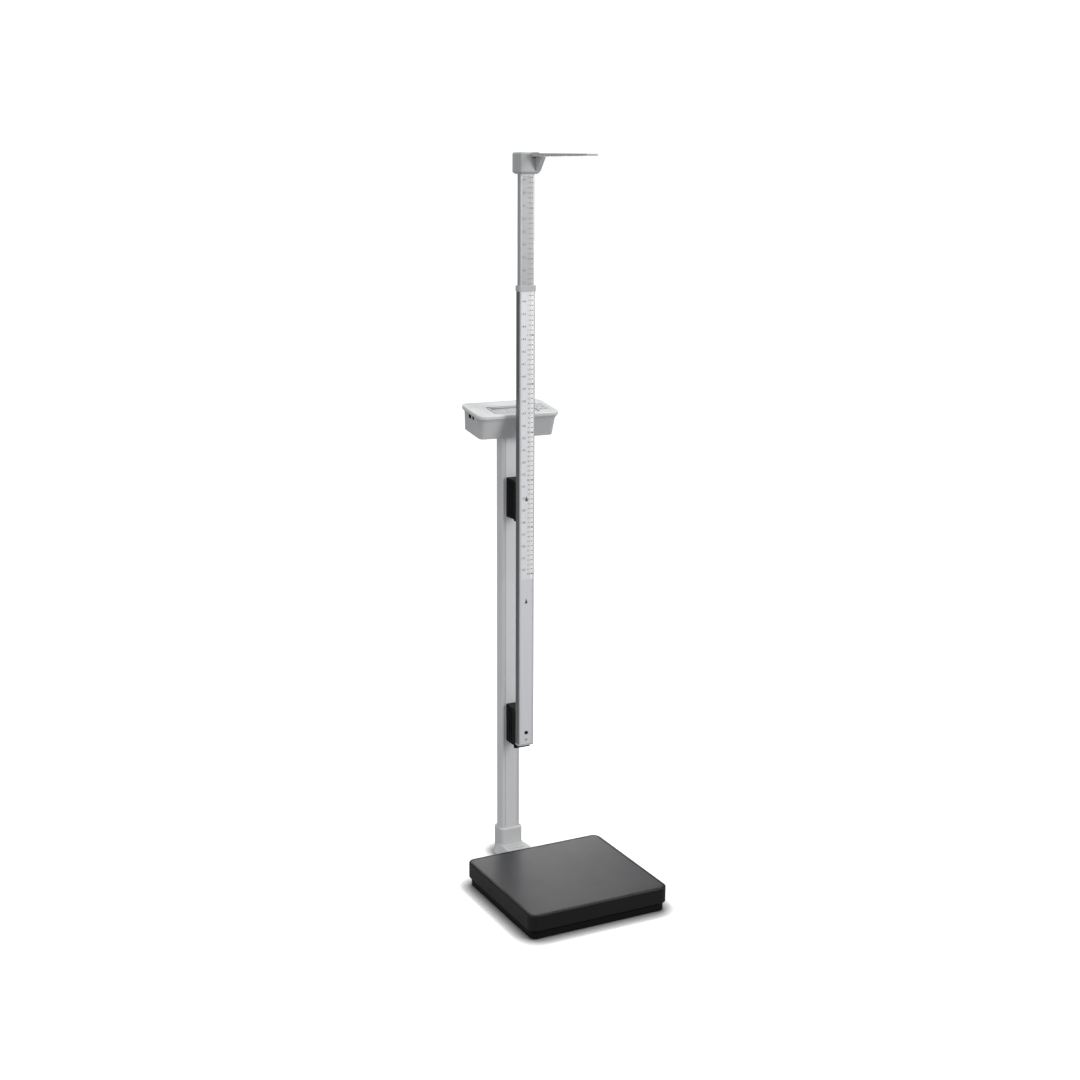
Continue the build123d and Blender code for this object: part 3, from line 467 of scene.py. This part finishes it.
# ---------------------------------------------------------------- printed numbers
FIGURES = "0123456789"
FIGURE_SPACING = 0.78                     # between the middles of two figures, as a share of their height


def make_digits():
    """The ten figures as meshes of unit height and thickness, from the built-in plain font."""
    digits = {}
    for figure in FIGURES:
        text = bpy.data.curves.new("figure", "FONT")
        text.body = figure
        text.resolution_u = 2
        text.extrude = 0.5
        holder = bpy.data.objects.new("figure", text)
        bpy.context.scene.collection.objects.link(holder)
        bpy.context.view_layer.update()
        digits[figure] = bpy.data.meshes.new_from_object(holder)
        bpy.data.objects.remove(holder)
    tallest = max(v.co.y for v in digits["0"].vertices)
    for mesh in digits.values():
        mesh.transform(Matrix.Diagonal((1 / tallest, 1 / tallest, 1, 1)))
    return digits


def add_number(bm, digits, number, height, placement):
    """Writes a whole number, centred on the placement, with its figures side by side."""
    figures = str(number)
    size = Matrix.Diagonal((height, height, PRINT_THICKNESS, 1))
    for i, figure in enumerate(figures):
        mesh = digits[figure]
        middle = sum(v.co.x for v in mesh.vertices) / len(mesh.vertices)
        places_along = i - (len(figures) - 1) / 2
        shift = places_along * FIGURE_SPACING * height - middle * height
        start = len(bm.verts)
        bm.from_mesh(mesh)
        bm.verts.ensure_lookup_table()
        # Half the thickness forward, so that the figure's back lies on the face.
        move = Matrix.Translation((shift, -height / 2, PRINT_THICKNESS / 2))
        bmesh.ops.transform(bm, matrix=placement @ move @ size, verts=bm.verts[start:])


# ---------------------------------------------------------------- printed rulers
PLATFORM_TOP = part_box("platform_cover")[1].z
OUTER_READINGS = range(60, 120)           # centimetres printed on each tape
INNER_READINGS = range(124, 212)
LARGE_STEP = 10                           # every tenth centimetre is printed larger

MARK_X = 9.6 * MM                         # where the centimetre marks start
MARK = (3.0 * MM, 1.8 * MM)               # widths and heights of the marks
LARGE_MARK = (4.0 * MM, 2.6 * MM)
HALF_WAY_MARK = (1.4 * MM, 0.5 * MM)
INCH_MARK = (2.4 * MM, 0.8 * MM)
INCH_MARK_MARGIN = 0.6 * MM               # from the tape's left edge

NUMBER_X = 3.7 * MM
NUMBER_HEIGHT = 3.4 * MM
LARGE_NUMBER_HEIGHT = 4.6 * MM
INCH_NUMBER_X = -7.0 * MM
INCH_NUMBER_HEIGHT = 5.0 * MM

END_MARGIN = 2 * MM                       # nothing is printed this close to a tape's ends
INCH_END_MARGIN = 4 * MM


def add_mark(bm, x, front_y, z, size):
    """A printed bar that starts at x and is centred on z."""
    width, height = size
    add_prism(bm, rectangle(width, height), PRINT_THICKNESS, facing_front(x + width / 2, front_y, z))


def print_centimetres(bm, tape_box, height_of, readings, digits):
    """A mark and number at each centimetre, and a short mark half way to the next."""
    low, high = tape_box
    for number in readings:
        z = height_of(number * CENTIMETRE)
        if not low.z + END_MARGIN < z < high.z - END_MARGIN:
            continue
        large = number % LARGE_STEP == 0
        add_mark(bm, MARK_X, low.y, z, LARGE_MARK if large else MARK)
        half_way = height_of((number + 0.5) * CENTIMETRE)
        if low.z < half_way < high.z:
            add_mark(bm, MARK_X, low.y, half_way, HALF_WAY_MARK)
        number_height = LARGE_NUMBER_HEIGHT if large else NUMBER_HEIGHT
        add_number(bm, digits, number, number_height, facing_front(NUMBER_X, low.y, z))


def print_inches(bm, tape_box, height_of, readings, digits):
    """A mark and number at each whole inch within the centimetre readings."""
    low, high = tape_box
    first_inch = math.ceil(readings[0] * CENTIMETRE / INCH)
    last_inch = math.floor(readings[-1] * CENTIMETRE / INCH)
    for number in range(first_inch, last_inch + 1):
        z = height_of(number * INCH)
        if not low.z + INCH_END_MARGIN < z < high.z - INCH_END_MARGIN:
            continue
        add_mark(bm, low.x + INCH_MARK_MARGIN, low.y, z, INCH_MARK)
        add_number(bm, digits, number, INCH_NUMBER_HEIGHT, facing_front(INCH_NUMBER_X, low.y, z))


def ruler_bmesh(tape_box, height_of, readings, digits):
    """All the print on one tape; height_of turns a reading in metres into a height."""
    bm = bmesh.new()
    print_centimetres(bm, tape_box, height_of, readings, digits)
    print_inches(bm, tape_box, height_of, readings, digits)
    return bm


def outer_ruler_height(reading):
    """The outer ruler counts up from the top of the platform."""
    return PLATFORM_TOP + reading


def inner_ruler_height(reading):
    """The inner ruler is read at the collar's top, where it shows the arm's height."""
    reading_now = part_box("measuring_arm")[0].z - PLATFORM_TOP
    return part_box("rod_collar")[1].z + reading_now - reading


def make_rulers(dark_ink):
    digits = make_digits()
    outer = ruler_bmesh(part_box("scale_tape_outer"), outer_ruler_height, OUTER_READINGS, digits)
    finish_piece("outer_ruler_print", outer, dark_ink, "base")
    inner = ruler_bmesh(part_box("scale_tape_inner"), inner_ruler_height, INNER_READINGS, digits)
    inner_ink = ink("inner_ruler_ink", (0.14, 0.14, 0.145))
    finish_piece("inner_ruler_print", inner, inner_ink, "height_slide")


# ---------------------------------------------------------------- pointers on the outer rod
POINTER_HALF_WIDTH = 3.6 * MM
POINTER_HEIGHT = 11.0 * MM
POINTER_X = -1.0 * MM
POINTER_THICKNESS = 2 * PRINT_THICKNESS
LOWER_POINTER_DROP = 52 * MM              # below the outer tape's lower end, on the bare rod
UPPER_POINTER_RISE = 168 * MM             # above the tape's lower end, on the tape


def make_pointers(dark_ink):
    """Two small triangles that point up the outer ruler."""
    tape_low, tape_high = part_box("scale_tape_outer")
    outline = [(-POINTER_HALF_WIDTH, 0), (POINTER_HALF_WIDTH, 0), (0, POINTER_HEIGHT)]
    for name, z, face_y in (
        ("lower_pointer", tape_low.z - LOWER_POINTER_DROP, tape_high.y),
        ("upper_pointer", tape_low.z + UPPER_POINTER_RISE, tape_low.y),
    ):
        bm = bmesh.new()
        add_prism(bm, outline, POINTER_THICKNESS, facing_front(POINTER_X, face_y, z))
        finish_piece(name, bm, dark_ink, "base")


# ---------------------------------------------------------------- indicator head
def head_axes():
    """Columns are the head's right, back and up directions; the keys are pressed along -up."""
    press = next(joint["axis"] for joint in frame["joints"] if joint["name"] == "key_1_press")
    up = -Vector(press).normalized()
    right = Vector((1, 0, 0))
    back = up.cross(right)
    return Matrix((right, back, up)).transposed()


HEAD = head_axes()


def head_box(node):
    """Lowest and highest corner of a node, measured along the head's own directions."""
    to_head = HEAD.inverted()
    points = [to_head @ v.co for v in frame["nodes"][node].data.vertices]
    low = Vector([min(p[i] for p in points) for i in range(3)])
    high = Vector([max(p[i] for p in points) for i in range(3)])
    return low, high


def on_top_of(node):
    """Places a flat shape on the middle of a head node's top."""
    low, high = head_box(node)
    middle = (low + high) / 2
    return Matrix.Translation(HEAD @ Vector((middle.x, middle.y, high.z))) @ HEAD.to_4x4()


# ---------------------------------------------------------------- display
READING = "000"                           # shown with a decimal point before its last figure
SEGMENTS = {
    "0": "abcdef", "1": "bc", "2": "abged", "3": "abgcd", "4": "fgbc",
    "5": "afgcd", "6": "afgedc", "7": "abc", "8": "abcdefg", "9": "abcdfg",
}
FIGURE_WIDTH = 9.5 * MM
FIGURE_HEIGHT = 19 * MM
FIGURE_PITCH = 17 * MM
FIRST_FIGURE_X = -0.4 * FIGURE_PITCH
SEGMENT_THICKNESS = 2.0 * MM
SEGMENT_GAP = 0.5 * MM
POINT_X = 1.1 * FIGURE_PITCH
POINT_Y = -10.5 * MM
POINT_RADIUS = 1.3 * MM


def add_segment(bm, centre, length, upright, placement):
    """One bar of a seven-segment figure, pointed at both ends."""
    tip, edge = length / 2, SEGMENT_THICKNESS / 2
    shoulder = tip - edge
    outline = [
        (-tip, 0), (-shoulder, -edge), (shoulder, -edge),
        (tip, 0), (shoulder, edge), (-shoulder, edge),
    ]
    if upright:
        outline = [(-y, x) for x, y in outline]
    shifted = [(x + centre[0], y + centre[1]) for x, y in outline]
    add_prism(bm, shifted, PRINT_THICKNESS, placement)


def add_display_figure(bm, figure, x, placement):
    """A seven-segment figure whose segments have their usual letters."""
    side, top = FIGURE_WIDTH / 2, FIGURE_HEIGHT / 2
    spots = {
        "a": (0, top, False), "g": (0, 0, False), "d": (0, -top, False),
        "f": (-side, top / 2, True), "b": (side, top / 2, True),
        "e": (-side, -top / 2, True), "c": (side, -top / 2, True),
    }
    for letter in SEGMENTS[figure]:
        dx, dy, upright = spots[letter]
        length = (top if upright else FIGURE_WIDTH) - SEGMENT_GAP
        add_segment(bm, (x + dx, dy), length, upright, placement)


def make_display_figures():
    placement = on_top_of("display_glass")
    bm = bmesh.new()
    for i, figure in enumerate(READING):
        add_display_figure(bm, figure, FIRST_FIGURE_X + i * FIGURE_PITCH, placement)
    add_prism(bm, circle(POINT_RADIUS, POINT_X, POINT_Y), PRINT_THICKNESS, placement)
    finish_piece("display_figures", bm, ink("display_ink", (0.035, 0.045, 0.04)), "base")


# How much smaller than the window each outline is, and its corner radius; the outer band is painted
# shade.
SHADE_BAND_OUTLINE = (0.6 * MM, 2.0 * MM)
BORDER_OUTLINE = (5 * MM, 1.8 * MM)
OPENING_OUTLINE = (13 * MM, 1.5 * MM)


def make_window_print():
    """A printed border round the window's opening, and a thin dark line of painted shade round the
    border.
    """
    low, high = head_box("display_window")
    width, depth = high.x - low.x, high.y - low.y
    placement = on_top_of("display_window")
    outer, between, inner = [
        rounded_rectangle(width - smaller, depth - smaller, radius)
        for smaller, radius in (SHADE_BAND_OUTLINE, BORDER_OUTLINE, OPENING_OUTLINE)
    ]
    border = bmesh.new()
    add_frame(border, between, inner, PRINT_THICKNESS, placement)
    finish_piece("window_border", border, ink("window_ink", (0.50, 0.51, 0.53)), "base")
    # Painted shade: a thin dark line round the window's edge.
    line = bmesh.new()
    add_frame(line, outer, between, PRINT_THICKNESS, placement)
    finish_piece("window_edge_painted_shade", line, ink("window_shade_ink", (0.05, 0.05, 0.055)), "base")


# ---------------------------------------------------------------- key symbols
SIGN_LENGTH = 3.8 * MM
SIGN_STROKE = 0.9 * MM
SIGN_SQUARE = 3.2 * MM
SIGN_DOT_RADIUS = 1.6 * MM
ARROW_REACH = 1.8 * MM                    # from the key's middle to the tip, and half the arrow's width
ARROW_FOOT = 1.2 * MM                     # from the key's middle to the arrow's foot


def symbol_outlines():
    """A plain sign for each key, as a closed outline."""
    arrow = [(-ARROW_REACH, -ARROW_FOOT), (ARROW_REACH, -ARROW_FOOT), (0, ARROW_REACH)]
    return {
        "key_1": circle(SIGN_DOT_RADIUS),
        "key_2": arrow,
        "key_3": [(x, -y) for x, y in reversed(arrow)],
        "key_4": rectangle(SIGN_LENGTH, SIGN_STROKE),
        "key_5": rectangle(SIGN_SQUARE, SIGN_SQUARE),
        "key_6": rectangle(SIGN_STROKE, SIGN_LENGTH),
    }


def make_key_symbols():
    dark = ink("symbol_ink", (0.10, 0.11, 0.13))
    for number, (node, outline) in enumerate(symbol_outlines().items(), start=1):
        bm = bmesh.new()
        add_prism(bm, outline, PRINT_THICKNESS, on_top_of(node))
        finish_piece(f"{node}_symbol", bm, dark, f"key_body_{number}")


# ---------------------------------------------------------------- studio
FLOOR_SIZE = 30.0
FLOOR_GAP = 0.2 * MM                      # between the floor and the object's lowest point
FLOOR_TONE = (0.35, 0.35, 0.35, 1)
CONTACT_REACH = 34 * MM                   # how far from the object the floor's shadow begins
CONTACT_FALLOFF = 7.0
WHITE = (1, 1, 1, 1)
BACKDROP_STRENGTH = 1.05
AMBIENT_STRENGTH = 0.37


def emptied_tree(owner):
    """The node tree of a material or world, emptied."""
    owner.use_nodes = True
    owner.node_tree.nodes.clear()
    return owner.node_tree


def camera_switch(tree, seen, otherwise):
    """One shader for what the camera sees directly, and another for every other ray."""
    path = tree.nodes.new("ShaderNodeLightPath")
    mix = tree.nodes.new("ShaderNodeMixShader")
    tree.links.new(path.outputs["Is Camera Ray"], mix.inputs["Fac"])
    tree.links.new(otherwise.outputs[0], mix.inputs[1])
    tree.links.new(seen.outputs[0], mix.inputs[2])
    return mix.outputs["Shader"]


def contact_shadow(tree):
    """Falls from one to nothing where something stands close to the surface."""
    openness = tree.nodes.new("ShaderNodeAmbientOcclusion")
    openness.inputs["Distance"].default_value = CONTACT_REACH
    falloff = tree.nodes.new("ShaderNodeMath")
    falloff.operation = "POWER"
    falloff.inputs[1].default_value = CONTACT_FALLOFF
    tree.links.new(openness.outputs["AO"], falloff.inputs[0])
    return falloff.outputs["Value"]


def floor_material():
    """A grey sheet that glows white to the camera, and less so close to the object."""
    material = bpy.data.materials.new("pale_floor")
    tree = emptied_tree(material)
    sheet = tree.nodes.new("ShaderNodeBsdfDiffuse")
    sheet.inputs["Color"].default_value = FLOOR_TONE
    glow = tree.nodes.new("ShaderNodeEmission")
    tree.links.new(contact_shadow(tree), glow.inputs["Strength"])
    glowing_sheet = tree.nodes.new("ShaderNodeAddShader")
    tree.links.new(sheet.outputs[0], glowing_sheet.inputs[0])
    tree.links.new(glow.outputs[0], glowing_sheet.inputs[1])
    output = tree.nodes.new("ShaderNodeOutputMaterial")
    tree.links.new(camera_switch(tree, glowing_sheet, sheet), output.inputs["Surface"])
    return material


def make_floor():
    bm = bmesh.new()
    bmesh.ops.create_grid(bm, x_segments=4, y_segments=4, size=FLOOR_SIZE)
    mesh = bpy.data.meshes.new("studio_floor")
    bm.to_mesh(mesh)
    bm.free()
    mesh.materials.append(floor_material())
    floor = bpy.data.objects.new("studio_floor", mesh)
    floor.location.z = cad_low.z - FLOOR_GAP
    bpy.context.scene.collection.objects.link(floor)


def white_background(tree, strength):
    background = tree.nodes.new("ShaderNodeBackground")
    background.inputs["Strength"].default_value = strength
    background.inputs["Color"].default_value = WHITE
    return background


def make_world():
    """White behind the object, with a weaker even light from all round."""
    world = bpy.data.worlds.new("studio")
    bpy.context.scene.world = world
    tree = emptied_tree(world)
    backdrop = white_background(tree, BACKDROP_STRENGTH)
    ambient = white_background(tree, AMBIENT_STRENGTH)
    output = tree.nodes.new("ShaderNodeOutputWorld")
    tree.links.new(camera_switch(tree, backdrop, ambient), output.inputs["Surface"])


def softbox(name, place, target, size, power):
    """A rectangular lamp that points at a target and isn't seen itself."""
    lamp = bpy.data.lights.new(name, "AREA")
    lamp.shape = "RECTANGLE"
    lamp.size, lamp.size_y = size
    lamp.energy = power
    holder = bpy.data.objects.new(name, lamp)
    holder.location = place
    holder.rotation_mode = "QUATERNION"
    holder.rotation_quaternion = (Vector(target) - Vector(place)).to_track_quat("-Z", "Y")
    holder.visible_camera = False
    bpy.context.scene.collection.objects.link(holder)


def make_lights():
    """A key light at the front right, a large one above, a weak one on the left and a low one behind."""
    middle = (cad_low + cad_high) / 2
    floor_spot = (0, 0, 0.05)
    softbox("key_softbox", place=(1.9, -2.6, 2.0), target=middle, size=(1.2, 2.2), power=74)
    softbox("top_softbox", place=(0.2, 0.3, 3.4), target=middle, size=(2.6, 2.6), power=62)
    softbox("left_softbox", place=(-2.6, -1.0, 1.1), target=middle, size=(1.4, 2.2), power=26)
    softbox("rear_softbox", place=(1.35, 2.9, 0.62), target=floor_spot, size=(1.0, 0.7), power=12)


# ---------------------------------------------------------------- camera
LENS_MM = 53.78
SENSOR_WIDTH_MM = 36.0
AIM = Vector((-0.0085, 0.0271, 0.7436))
VIEW_DISTANCE = 3.30
VIEW_AZIMUTH = math.radians(-27.18)
VIEW_ELEVATION = math.radians(12.73)
VIEW_ROLL = math.radians(0.287)


def make_camera():
    data = bpy.data.cameras.new("main_view")
    data.sensor_width = SENSOR_WIDTH_MM
    data.lens = LENS_MM
    data.clip_start, data.clip_end = 0.05, 200.0
    camera = bpy.data.objects.new("main_view", data)
    level = math.cos(VIEW_ELEVATION)
    back = Vector((
        math.sin(VIEW_AZIMUTH) * level,
        -math.cos(VIEW_AZIMUTH) * level,
        math.sin(VIEW_ELEVATION),
    ))
    camera.location = AIM + back * VIEW_DISTANCE
    camera.rotation_mode = "QUATERNION"
    camera.rotation_quaternion = (-back).to_track_quat("-Z", "Y") @ Quaternion((0, 0, 1), VIEW_ROLL)
    bpy.context.scene.collection.objects.link(camera)
    bpy.context.scene.camera = camera
    bpy.context.scene.view_settings.view_transform = "Standard"


dress_nodes()
ruler_ink = ink("ruler_ink", (0.05, 0.05, 0.055))
make_rulers(ruler_ink)
make_pointers(ruler_ink)
make_display_figures()
make_window_print()
make_key_symbols()
make_floor()
make_world()
make_lights()
make_camera()
